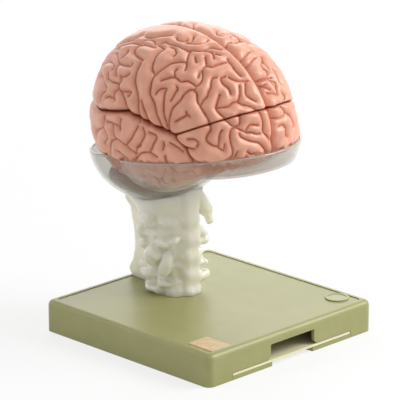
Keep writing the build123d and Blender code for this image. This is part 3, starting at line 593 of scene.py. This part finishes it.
def brain_hull(x, y, z):
    """Smooth hull of the brain with its fuller and leaner places."""
    hull = ellipsoid_field(x, y, z, BRAIN_CENTRE, BRAIN_SIZES, turn=TILT) - HULL_RAISE
    ball = (np.stack((x, y, z), axis=-1) - HULL_CENTRE) @ TILT / HULL_SIZES
    both = ball.copy()
    both[..., 0] = np.abs(ball[..., 0])
    for where, swells in ((both, HULL_SWELLS), (ball, HULL_SWELLS_LEFT)):
        for place, width, height in swells:
            away = ((where - np.array(place)) ** 2).sum(axis=-1)
            hull = hull - height * np.exp(-away / width ** 2)
    return hull


def brain_half(x, y, z, side):
    """Folded half of the cerebrum, seated in the skull base."""
    hull = brain_hull(x, y, z)
    band = np.abs(hull) < FIELD_REACH
    sink = np.zeros(x.shape)
    near = x[band], y[band], z[band]
    sink[band] = crease(from_map(FURROW_MAPS, *near, side)) + from_map(PUFF_MAPS, *near, side)
    body = smooth_max(hull + sink, MEDIAN_GAP / 2 - side * x, MEDIAN_ROUNDING)
    return smooth_max(body, with_folds(free_room(x, y, z), x, y, z), UNDERSIDE_ROUNDING)


def with_folds(face, x, y, z):
    """Winding folds along a hidden face of the underside."""
    under = (np.abs(face) < FIELD_REACH) & (z < RIM_Z + UNDERSIDE_TOP)
    folds = labyrinth(np.stack((x[under], y[under], z[under]), axis=-1), UNDERSIDE_SEED)
    result = face.copy()
    result[under] += UNDERSIDE_SHARE * (crease(folds) + puff(folds))
    return result


def seam_rounding(y):
    """Rounding of the edges at the parting face: tight in front, wide along the side fissure."""
    return SEAM_ROUNDING_FRONT + (SEAM_ROUNDING_REAR - SEAM_ROUNDING_FRONT) * fade(y, *SEAM_CHANGE)


def cerebrum_top(x, y, z, side):
    """Upper piece with the frontal and the parietal lobe."""
    return smooth_max(brain_half(x, y, z, side), PARTING_GAP / 2 - parting_field(y, z), seam_rounding(y))


def frontal_base(x, y, z, side):
    """Lower front piece with the underside of the frontal lobe."""
    body = smooth_max(brain_half(x, y, z, side), parting_field(y, z) + PARTING_GAP / 2, seam_rounding(y))
    body = smooth_max(body, lobe_field(y, z) + LOBE_GAP / 2, SEAM_ROUNDING_FRONT)
    return smooth_max(body, with_folds(-rim_field(y, z) - FRONT_DEPTH, x, y, z), SEAM_ROUNDING_REAR)


def temporal_occipital(x, y, z, side):
    """Lower rear piece with the temporal and the occipital lobe, over the room of the cerebellum."""
    body = smooth_max(brain_half(x, y, z, side), parting_field(y, z) + PARTING_GAP / 2, seam_rounding(y))
    body = smooth_max(body, LOBE_GAP / 2 - lobe_field(y, z), SEAM_ROUNDING_REAR)
    body = smooth_max(body, -ellipsoid_field(x, y, z, *ROOM), ROOM_ROUNDING)
    return np.maximum(body, -ellipsoid_field(x, y, z, *STEM_ROOM))


def folium_distance(x, y, z):
    """Distance to the next furrow between the fine leaves of the cerebellum."""
    bend = FOLIUM_BEND * (y - CEREBELLUM[0][1]) ** 2 / FOLIUM_PITCH
    rise = z + bend + FOLIUM_SWAY * np.sin(np.abs(x) * FOLIUM_SWAY_RATE)
    share = np.abs(rise / FOLIUM_PITCH - np.round(rise / FOLIUM_PITCH))
    return share * FOLIUM_PITCH


def cerebellum(x, y, z, side):
    """One half of the cerebellum with its fine leaves."""
    centre = (side * CEREBELLUM[0][0], *CEREBELLUM[0][1:])
    body = ellipsoid_field(x, y, z, centre, CEREBELLUM[1])
    body = np.maximum(body, ellipsoid_field(x, y, z, ROOM[0], ROOM[1], -BRAIN_CLEARANCE))
    body = np.maximum(body, free_room(x, y, z))
    leaf = np.clip(1 - folium_distance(x, y, z) / (FOLIUM_PITCH / 2), 0, 1)
    return np.maximum(body + FOLIUM_DEPTH * leaf ** 2, MEDIAN_GAP / 2 - side * x)


def roughness(x, y, z):
    """Uneven surface of the bony parts: waves of a few lengths in many directions."""
    rng = np.random.default_rng(ROUGH_SEED)
    total = 0.0
    for length, height in ROUGH_WAVES:
        for _ in range(ROUGH_DIRECTIONS):
            wave = rng.normal(size=3)
            wave *= 2 * math.pi / length / np.linalg.norm(wave)
            phase = x * wave[0] + y * wave[1] + z * wave[2] + rng.uniform(0, ROUGH_PHASE)
            total = total + height * np.sin(phase)
    return total


def front_band(x, y, z):
    """Rounded band down the front of the column, waved from bone to bone."""
    bulge = BAND_WAVE * np.cos((z - VERTEBRA_START) / VERTEBRA_PITCH * 2 * math.pi)
    side_out = np.abs(x - BAND_PLACE[0]) - BAND_SIZES[0] + BAND_ROUNDING
    front_out = np.abs(y - BAND_PLACE[1]) - BAND_SIZES[1] + BAND_ROUNDING + BAND_WAVE + bulge
    outside = np.hypot(np.maximum(side_out, 0), np.maximum(front_out, 0))
    return outside + np.minimum(np.maximum(side_out, front_out), 0) - BAND_ROUNDING


def swelling(x, y, z, place, sizes, lean):
    """One leaning swelling or hollow of the column."""
    return ellipsoid_field(x, y, z, place, sizes, turn=rotation_y(lean))


def neck_column(x, y, z):
    """Neck column: waisted body, front band, bony swellings and the thin sheet to the rear."""
    heights, middles, widths, depths = np.array(NECK_SECTIONS).T
    line = z[0, 0]
    middle, width, depth = (np.interp(line, heights, values) for values in (middles, widths, depths))
    across, along = np.abs(x / width) ** NECK_SQUARENESS, np.abs((y - middle) / depth) ** NECK_SQUARENESS
    reach = (across + along) ** (1 / NECK_SQUARENESS)
    body = (reach - 1) * np.minimum(width, depth)
    rear = np.interp(line, *np.array(SHEET_REAR).T)
    sheet = smooth_max(np.abs(x) - SHEET_THICKNESS / 2, np.maximum(y - rear, middle - y), SHEET_ROUNDING)
    solid = smooth_min(body, sheet, SHEET_FILLET)
    lumps = [swelling(np.abs(x), y, z, *values) for values in SWELLINGS]
    lumps += [swelling(x, y, z, *values) for values in SWELLINGS_LEFT]
    for lump in lumps:
        solid = smooth_min(solid, lump, SWELLING_FILLET)
    for values in HOLLOW_SPOTS:
        solid = smooth_max(solid, -swelling(np.abs(x), y, z, *values), HOLLOW_ROUNDING)
    rough_share = fade(z, *ROUGH_TOP) * (1 - REAR_SMOOTHNESS * fade(y, *ROUGH_REAR))
    solid = solid + roughness(x, y, z) * rough_share
    solid = smooth_min(solid, front_band(x, y, z), BAND_FILLET)
    skull = np.maximum(hollow_field(x, y, z, SHELL_THICKNESS), rim_field(y, z))
    solid = np.maximum(solid, -skull)
    return np.maximum(solid, np.maximum(NECK_FOOT_Z - z, z - NECK_TOP))


def surface_net(field, low):
    """Closed quad mesh of the zero level of a sampled field that is negative inside."""
    inside = field < 0
    sx, sy, sz = (n - 1 for n in field.shape)
    offsets = [(i, j, k) for i in (0, 1) for j in (0, 1) for k in (0, 1)]
    count = np.zeros((sx, sy, sz), np.int8)
    for i, j, k in offsets:
        count += inside[i:i + sx, j:j + sy, k:k + sz]
    cells = np.argwhere((count > 0) & (count < 8))
    number = np.full((sx, sy, sz), -1, np.int32)
    number[tuple(cells.T)] = np.arange(len(cells))
    values = {o: field[cells[:, 0] + o[0], cells[:, 1] + o[1], cells[:, 2] + o[2]] for o in offsets}
    places = np.zeros((len(cells), 3))
    crossings = np.zeros(len(cells))
    for a in offsets:
        for axis in range(3):
            if a[axis]:
                continue
            b = tuple(1 if n == axis else a[n] for n in range(3))
            cut = (values[a] < 0) != (values[b] < 0)
            share = np.where(cut, values[a] / np.where(cut, values[a] - values[b], 1), 0)
            point = np.array(a, float) + share[:, None] * (np.array(b) - np.array(a))
            places += np.where(cut[:, None], point, 0)
            crossings += cut
    vertices = low + GRID_STEP * (cells + places / crossings[:, None])
    faces = []
    for axis in range(3):
        u, v = [n for n in range(3) if n != axis]
        near = [slice(1, -1)] * 3
        far = [slice(1, -1)] * 3
        near[axis], far[axis] = slice(0, -1), slice(1, None)
        a, b = inside[tuple(near)], inside[tuple(far)]
        for flip, edges in ((False, a & ~b), (True, ~a & b)):
            spots = np.argwhere(edges)
            if not len(spots):
                continue
            spots[:, u] += 1
            spots[:, v] += 1
            ring = []
            for du, dv in ((1, 1), (0, 1), (0, 0), (1, 0)):
                cell = spots.copy()
                cell[:, u] -= du
                cell[:, v] -= dv
                ring.append(number[tuple(cell.T)])
            ring = np.stack(ring, axis=-1)
            turn = flip != (axis == 1)
            faces.append(ring[:, ::-1] if turn else ring)
    return vertices, np.concatenate(faces)


def mesh_object(name, vertices, faces, keep):
    """Blender object from millimetre points, thinned to a share of its faces where it is flat."""
    mesh = bpy.data.meshes.new(name)
    mesh.vertices.add(len(vertices))
    mesh.vertices.foreach_set("co", (vertices * MM).astype(np.float32).ravel())
    mesh.loops.add(faces.size)
    mesh.loops.foreach_set("vertex_index", faces.astype(np.int32).ravel())
    mesh.polygons.add(len(faces))
    mesh.polygons.foreach_set("loop_start", np.arange(0, faces.size, faces.shape[1], dtype=np.int32))
    mesh.update(calc_edges=True)
    piece = bpy.data.objects.new(name, mesh)
    bpy.context.scene.collection.objects.link(piece)
    thin = piece.modifiers.new("thin", "DECIMATE")
    thin.ratio = keep
    with bpy.context.temp_override(object=piece, active_object=piece):
        bpy.ops.object.modifier_apply(modifier=thin.name)
    piece.data.polygons.foreach_set("use_smooth", np.ones(len(piece.data.polygons), bool))
    return piece


def sculpt(name, shape, node, margin, keep):
    """Object of a shape that is given as a field, over the box of its CAD node and a margin."""
    low, high = (np.array(corner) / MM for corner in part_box(node))
    low, high = low - margin, high + margin
    axes = [np.arange(a, b + GRID_STEP, GRID_STEP) for a, b in zip(low, high)]
    field = shape(*np.meshgrid(*axes, indexing="ij"))
    return mesh_object(name, *surface_net(field, low), keep)


def points_of(piece):
    """Vertices of a piece in millimetres, one array for each axis."""
    co = np.empty(len(piece.data.vertices) * 3, np.float32)
    piece.data.vertices.foreach_get("co", co)
    return (co.reshape(-1, 3) / MM).T.astype(float)


def store(piece, name, values):
    """Keep one number for each vertex as an attribute for the materials."""
    layer = piece.data.attributes.new(name, "FLOAT", "POINT")
    layer.data.foreach_set("value", values.astype(np.float32))


class Nodes:
    """Node tree of one material with short calls for its nodes."""

    def __init__(self, name, roughness, **values):
        self.material = bpy.data.materials.new(name)
        self.material.use_nodes = True
        self.tree = self.material.node_tree
        self.shader = self.tree.nodes["Principled BSDF"]
        self.output = self.tree.nodes["Material Output"]
        self.set(self.shader, Roughness=roughness, **values)

    def set(self, node, **values):
        for key, value in values.items():
            node.inputs[key.replace("_", " ")].default_value = value

    def add(self, kind, **values):
        node = self.tree.nodes.new(kind)
        self.set(node, **values)
        return node

    def link(self, output, target):
        self.tree.links.new(output, target)

    def noise(self, scale, detail=3.0):
        where = self.add("ShaderNodeTexCoord")
        node = self.add("ShaderNodeTexNoise", Scale=scale, Detail=detail)
        self.link(where.outputs["Object"], node.inputs["Vector"])
        return node.outputs["Fac"]

    def ramp(self, source, stops):
        node = self.tree.nodes.new("ShaderNodeValToRGB")
        elements = node.color_ramp.elements
        while len(elements) < len(stops):
            elements.new(0.5)
        for element, (place, colour) in zip(elements, stops):
            element.position = place
            element.color = (*linear(colour), 1)
        self.link(source, node.inputs["Fac"])
        return node.outputs["Color"]

    def attribute(self, name):
        node = self.tree.nodes.new("ShaderNodeAttribute")
        node.attribute_name = name
        return node.outputs["Fac"]

    def multiply(self, first, second):
        node = self.tree.nodes.new("ShaderNodeMix")
        node.data_type = "RGBA"
        node.blend_type = "MULTIPLY"
        node.inputs["Factor"].default_value = 1.0
        self.link(first, node.inputs["A"])
        self.link(second, node.inputs["B"])
        return node.outputs["Result"]

    def bump(self, height, distance, strength=1.0):
        node = self.add("ShaderNodeBump", Strength=strength, Distance=distance * MM)
        self.link(height, node.inputs["Height"])
        self.link(node.outputs["Normal"], self.shader.inputs["Normal"])

    def colour(self, output):
        self.link(output, self.shader.inputs["Base Color"])

    def rough(self, source, low, high):
        node = self.add("ShaderNodeMapRange", To_Min=low, To_Max=high)
        self.link(source, node.inputs["Value"])
        self.link(node.outputs["Result"], self.shader.inputs["Roughness"])


def linear(colour):
    """Linear colour from 0 to 255 screen values."""
    shares = [c / 255 for c in colour]
    return [s / 12.92 if s <= 0.04045 else ((s + 0.055) / 1.055) ** 2.4 for s in shares]


def mix_shaders(tree, share, first, second, target):
    """Blend two shaders by a share and show the result."""
    mix = tree.nodes.new("ShaderNodeMixShader")
    for source, socket in zip((share, first, second), mix.inputs):
        tree.links.new(source, socket)
    tree.links.new(mix.outputs["Shader"], target.inputs["Surface"])


def brain_material():
    """Salmon painted casting, red brown along the furrows and the seams: partly the furrows' darker paint,
    partly painted shade in the furrows and along the seams.
    """
    nodes = Nodes("brain_pink", 0.42, Subsurface_Weight=0.1, Subsurface_Scale=1.5 * MM, Coat_Weight=0.35,
                  Coat_Roughness=0.28)
    nodes.set(nodes.shader, Subsurface_Radius=(1.0, 0.35, 0.25))
    # Pale salmon on the brows to red brown in the furrows: partly the furrows' darker paint, partly painted
    # shade
    paint = nodes.ramp(nodes.attribute("furrow_paint_and_shade"), (
        (0.0, (234, 170, 142)), (0.3, (225, 156, 126)), (0.5, (210, 135, 106)), (0.75, (186, 108, 80)),
        (1.0, (144, 68, 45))))
    mottle = nodes.ramp(nodes.noise(90.0), ((0.3, (236, 226, 222)), (0.7, (255, 255, 255))))
    nodes.colour(nodes.multiply(paint, mottle))
    nodes.rough(nodes.noise(160.0), 0.36, 0.52)
    nodes.bump(nodes.noise(700.0, 4.0), 0.12, 0.5)
    return nodes.material


def cerebellum_material():
    """Brown painted casting, with painted shade darkening the furrows between the leaves."""
    nodes = Nodes("cerebellum_brown", 0.5)
    # Brown on the leaves to dark brown in the furrows between them: painted shade
    paint = nodes.ramp(nodes.attribute("furrow_paint_and_shade"), ((0.0, (150, 84, 50)), (1.0, (88, 44, 25))))
    mottle = nodes.ramp(nodes.noise(120.0), ((0.3, (230, 224, 220)), (0.7, (255, 255, 255))))
    nodes.colour(nodes.multiply(paint, mottle))
    nodes.bump(nodes.noise(600.0), 0.1, 0.5)
    return nodes.material


def plastic(name, first, second, roughness, scale=60.0):
    """Moulded plastic with faint clouding and a fine grain."""
    nodes = Nodes(name, roughness)
    nodes.colour(nodes.ramp(nodes.noise(scale), ((0.3, first), (0.7, second))))
    nodes.rough(nodes.noise(scale * 2), roughness - 0.05, roughness + 0.06)
    nodes.bump(nodes.noise(500.0, 2.0), 0.03, 0.4)
    return nodes.material


def clear_material(name, least, most):
    """Clear plastic, tinted faintly; its cover rises from least where it faces to most at its edge."""
    nodes = Nodes(name, 0.12, IOR=1.5, Coat_Weight=0.8, Coat_Roughness=0.04)
    nodes.colour(nodes.ramp(nodes.noise(40.0), ((0.3, (196, 194, 186)), (0.7, (208, 206, 198)))))
    clear = nodes.tree.nodes.new("ShaderNodeBsdfTransparent")
    clear.inputs["Color"].default_value = (0.95, 0.95, 0.935, 1)
    edge = nodes.add("ShaderNodeLayerWeight", Blend=0.25)
    share = nodes.add("ShaderNodeMapRange", To_Min=least, To_Max=most)
    nodes.link(edge.outputs["Facing"], share.inputs["Value"])
    mix_shaders(nodes.tree, share.outputs["Result"], clear.outputs["BSDF"], nodes.shader.outputs["BSDF"],
                nodes.output)
    return nodes.material


def casting_material():
    """Milky casting that lets some light through."""
    nodes = Nodes("casting_white", 0.28, Subsurface_Weight=0.8, Subsurface_Scale=11 * MM, Coat_Weight=0.35)
    nodes.set(nodes.shader, Subsurface_Radius=(1.0, 0.95, 0.8))
    nodes.colour(nodes.ramp(nodes.noise(30.0), ((0.3, (224, 222, 206)), (0.7, (238, 236, 222)))))
    nodes.bump(nodes.noise(260.0, 3.0), 0.15, 0.5)
    return nodes.material


def metal_material():
    """Zinc plated steel with faint clouds."""
    nodes = Nodes("steel", 0.32, Metallic=1.0)
    nodes.colour(nodes.ramp(nodes.noise(300.0), ((0.3, (150, 150, 146)), (0.7, (176, 176, 172)))))
    nodes.rough(nodes.noise(500.0), 0.24, 0.4)
    return nodes.material


MATERIALS = {
    "brain_pink": brain_material(),
    "cerebellum_brown": cerebellum_material(),
    "clear_shell": clear_material("clear_shell", 0.04, 0.75),
    "clear_edge": clear_material("clear_edge", 0.4, 0.95),
    "casting_white": casting_material(),
    "steel": metal_material(),
    "green_plastic": plastic("green_plastic", (154, 153, 98), (160, 159, 104), 0.38),
    "card_cream": plastic("card_cream", (230, 225, 186), (236, 231, 196), 0.4),
    "disc_green": plastic("disc_green", (158, 160, 106), (166, 167, 114), 0.34),
    "label_beige": plastic("label_beige", (204, 176, 132), (222, 198, 156), 0.5, scale=260.0),
    "stem_ivory": plastic("stem_ivory", (222, 206, 172), (230, 214, 182), 0.4),
    "pin_ivory": plastic("pin_ivory", (220, 212, 192), (226, 218, 200), 0.4),
}


def dress(piece, slot, node):
    """Give a piece its material and let it stand for a CAD node of the stand."""
    piece.data.materials.append(MATERIALS[slot])
    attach(piece, "stand")
    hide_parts(node)


def dress_nodes():
    """Materials of the CAD nodes that stay."""
    for part in frame["record"]["subparts"]:
        piece = frame["nodes"][part["node"]]
        piece.data.materials.clear()
        piece.data.materials.append(MATERIALS[part["material_slot"]])


# Shape, share of the faces that is kept, and material of the pieces of each half
PIECE_SHAPES = {
    "cerebrum_top": (cerebrum_top, 0.52, "brain_pink"),
    "frontal_base": (frontal_base, 0.6, "brain_pink"),
    "temporal_occipital": (temporal_occipital, 0.52, "brain_pink"),
    "cerebellum": (cerebellum, 0.7, "cerebellum_brown"),
}


def fold_share(x, y, z, side):
    """How deep a point lies in a furrow or a seam, from 0 on a brow to 1 in the depth; it darkens the paint,
    partly as the furrows' darker paint and partly as painted shade.
    """
    hull = brain_hull(x, y, z)
    distance = from_map(FURROW_MAPS, x, y, z, side)
    deepest = CREASE_DEPTH + PUFF_DEPTH
    near_surface = fade(hull, -deepest - PAINT_FADE, -deepest)
    # Dark line in the furrow, partly its paint and partly painted shade, and painted shade widening beside
    # it
    line = np.clip(1 - distance / LINE_WIDTH, 0, 1)
    shade = np.clip(1 - distance / SHADE_WIDTH, 0, 1) ** SHADE_POWER
    share = (LINE_SHARE * line + (1 - LINE_SHARE) * shade) * near_surface
    # Painted shade along the parting seam and along the gap between the frontal and the temporal lobe
    parting = np.abs(parting_field(y, z)) / seam_rounding(y) * PARTING_SHADE
    lobe = np.where(parting_field(y, z) < 0, np.abs(lobe_field(y, z)) / SEAM_ROUNDING_FRONT, NOT_NEAR)
    return np.maximum(share, np.clip(1 - np.minimum(parting, lobe), 0, 1))


def build_brain():
    """All pieces of the cerebrum and the cerebellum, right and left."""
    for side, word in ((-1, "right"), (1, "left")):
        for name, (shape, keep, slot) in PIECE_SHAPES.items():
            node = f"{word}_{name}"
            piece = sculpt(f"{node}_cast", lambda x, y, z: shape(x, y, z, side), node, PIECE_MARGIN, keep)
            x, y, z = points_of(piece)
            if name == "cerebellum":
                # Painted shade: darker towards the depth of the furrows between the leaves
                share = np.clip(1 - folium_distance(x, y, z) / (FOLIUM_PITCH / 2), 0, 1)
            else:
                share = fold_share(x, y, z, side)
            store(piece, "furrow_paint_and_shade", share)
            dress(piece, slot, node)


def build_column():
    """Neck column in place of its CAD node."""
    piece = sculpt("neck_column", neck_column, "cervical_spine", COLUMN_MARGIN, COLUMN_KEEP)
    dress(piece, "casting_white", "cervical_spine")


def rim_points():
    """Middle of the shell's wall all along the rim."""
    tilt = math.radians(RIM_TILT)
    reaches = np.arange(*RIM_SEARCH)
    points = []
    for bearing in np.linspace(0, 2 * math.pi, RIM_STEPS, endpoint=False):
        x = np.sin(bearing) * reaches
        y = BRAIN_CENTRE[1] - np.cos(bearing) * reaches
        z = RIM_Z - (y - RIM_Y) * math.tan(tilt)
        inside = hollow_field(x, y, z, SHELL_THICKNESS / 2) < 0
        last = np.nonzero(inside)[0][-1]
        points.append((x[last], y[last], z[last]))
    return np.array(points)


def build_rim():
    """Rounded bead along the edge of the clear skull base."""
    curve = bpy.data.curves.new("rim_bead", "CURVE")
    curve.dimensions = "3D"
    curve.bevel_depth = RIM_BEAD * MM
    curve.bevel_resolution = 3
    spline = curve.splines.new("POLY")
    points = rim_points() * MM
    spline.points.add(len(points) - 1)
    spline.points.foreach_set("co", np.hstack((points, np.ones((len(points), 1)))).ravel())
    spline.use_cyclic_u = True
    spline.use_smooth = True
    bead = bpy.data.objects.new("rim_bead", curve)
    bpy.context.scene.collection.objects.link(bead)
    curve.materials.append(MATERIALS["clear_edge"])
    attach(bead, "stand")


def build_camera():
    """Camera of the photograph."""
    data = bpy.data.cameras.new("camera")
    data.sensor_width = SENSOR_WIDTH
    data.lens = CAMERA_FOCAL_PIXELS * SENSOR_WIDTH / FRAME_PIXELS
    data.clip_end = 20
    camera = bpy.data.objects.new("camera", data)
    bpy.context.scene.collection.objects.link(camera)
    camera.location = Vector(EYE * MM)
    camera.rotation_euler = Vector(BACK).to_track_quat("Z", "Y").to_euler()
    bpy.context.scene.camera = camera


def area_light(name, azimuth, elevation, distance, size, power):
    """Soft lamp that looks at the model from a bearing and a height."""
    turn, rise = math.radians(azimuth), math.radians(elevation)
    back = Vector((math.sin(turn) * math.cos(rise), -math.cos(turn) * math.cos(rise), math.sin(rise)))
    data = bpy.data.lights.new(name, "AREA")
    data.energy = power
    data.size = size
    lamp = bpy.data.objects.new(name, data)
    bpy.context.scene.collection.objects.link(lamp)
    lamp.location = back * distance + Vector((0, 0, AIM_HEIGHT))
    lamp.rotation_euler = back.to_track_quat("Z", "Y").to_euler()


def seen_ray(tree):
    """1 for what the camera sees straight, in a reflection or through glass."""
    path = tree.nodes.new("ShaderNodeLightPath")
    result = path.outputs["Is Camera Ray"]
    for kind in ("Is Glossy Ray", "Is Transmission Ray"):
        larger = tree.nodes.new("ShaderNodeMath")
        larger.operation = "MAXIMUM"
        tree.links.new(result, larger.inputs[0])
        tree.links.new(path.outputs[kind], larger.inputs[1])
        result = larger.outputs[0]
    return result


def build_floor():
    """Plain pale floor that glows a little where it is seen."""
    bpy.ops.mesh.primitive_plane_add(size=FLOOR_WIDTH)
    floor = bpy.context.object
    floor.name = "floor"
    nodes = Nodes("floor_pale", 0.8, Base_Color=(0.9, 0.9, 0.9, 1))
    white = nodes.tree.nodes.new("ShaderNodeEmission")
    share = nodes.tree.nodes.new("ShaderNodeMath")
    share.operation = "MULTIPLY"
    share.inputs[1].default_value = FLOOR_GLOW
    nodes.link(seen_ray(nodes.tree), share.inputs[0])
    mix_shaders(nodes.tree, share.outputs[0], nodes.shader.outputs["BSDF"], white.outputs["Emission"],
                nodes.output)
    floor.data.materials.append(nodes.material)


def build_world():
    """White surroundings that light the model softly."""
    world = bpy.data.worlds.new("studio")
    world.use_nodes = True
    tree = world.node_tree
    soft, bright = tree.nodes["Background"], tree.nodes.new("ShaderNodeBackground")
    for background, strength in ((soft, SOFT_LIGHT), (bright, 1)):
        background.inputs["Color"].default_value = (1, 1, 1, 1)
        background.inputs["Strength"].default_value = strength
    mix_shaders(tree, seen_ray(tree), soft.outputs["Background"], bright.outputs["Background"],
                tree.nodes["World Output"])
    bpy.context.scene.world = world
    bpy.context.scene.view_settings.view_transform = "Standard"


dress_nodes()
build_brain()
build_column()
build_rim()
build_camera()
build_floor()
build_world()
for name, values in LAMPS.items():
    area_light(name, *values)
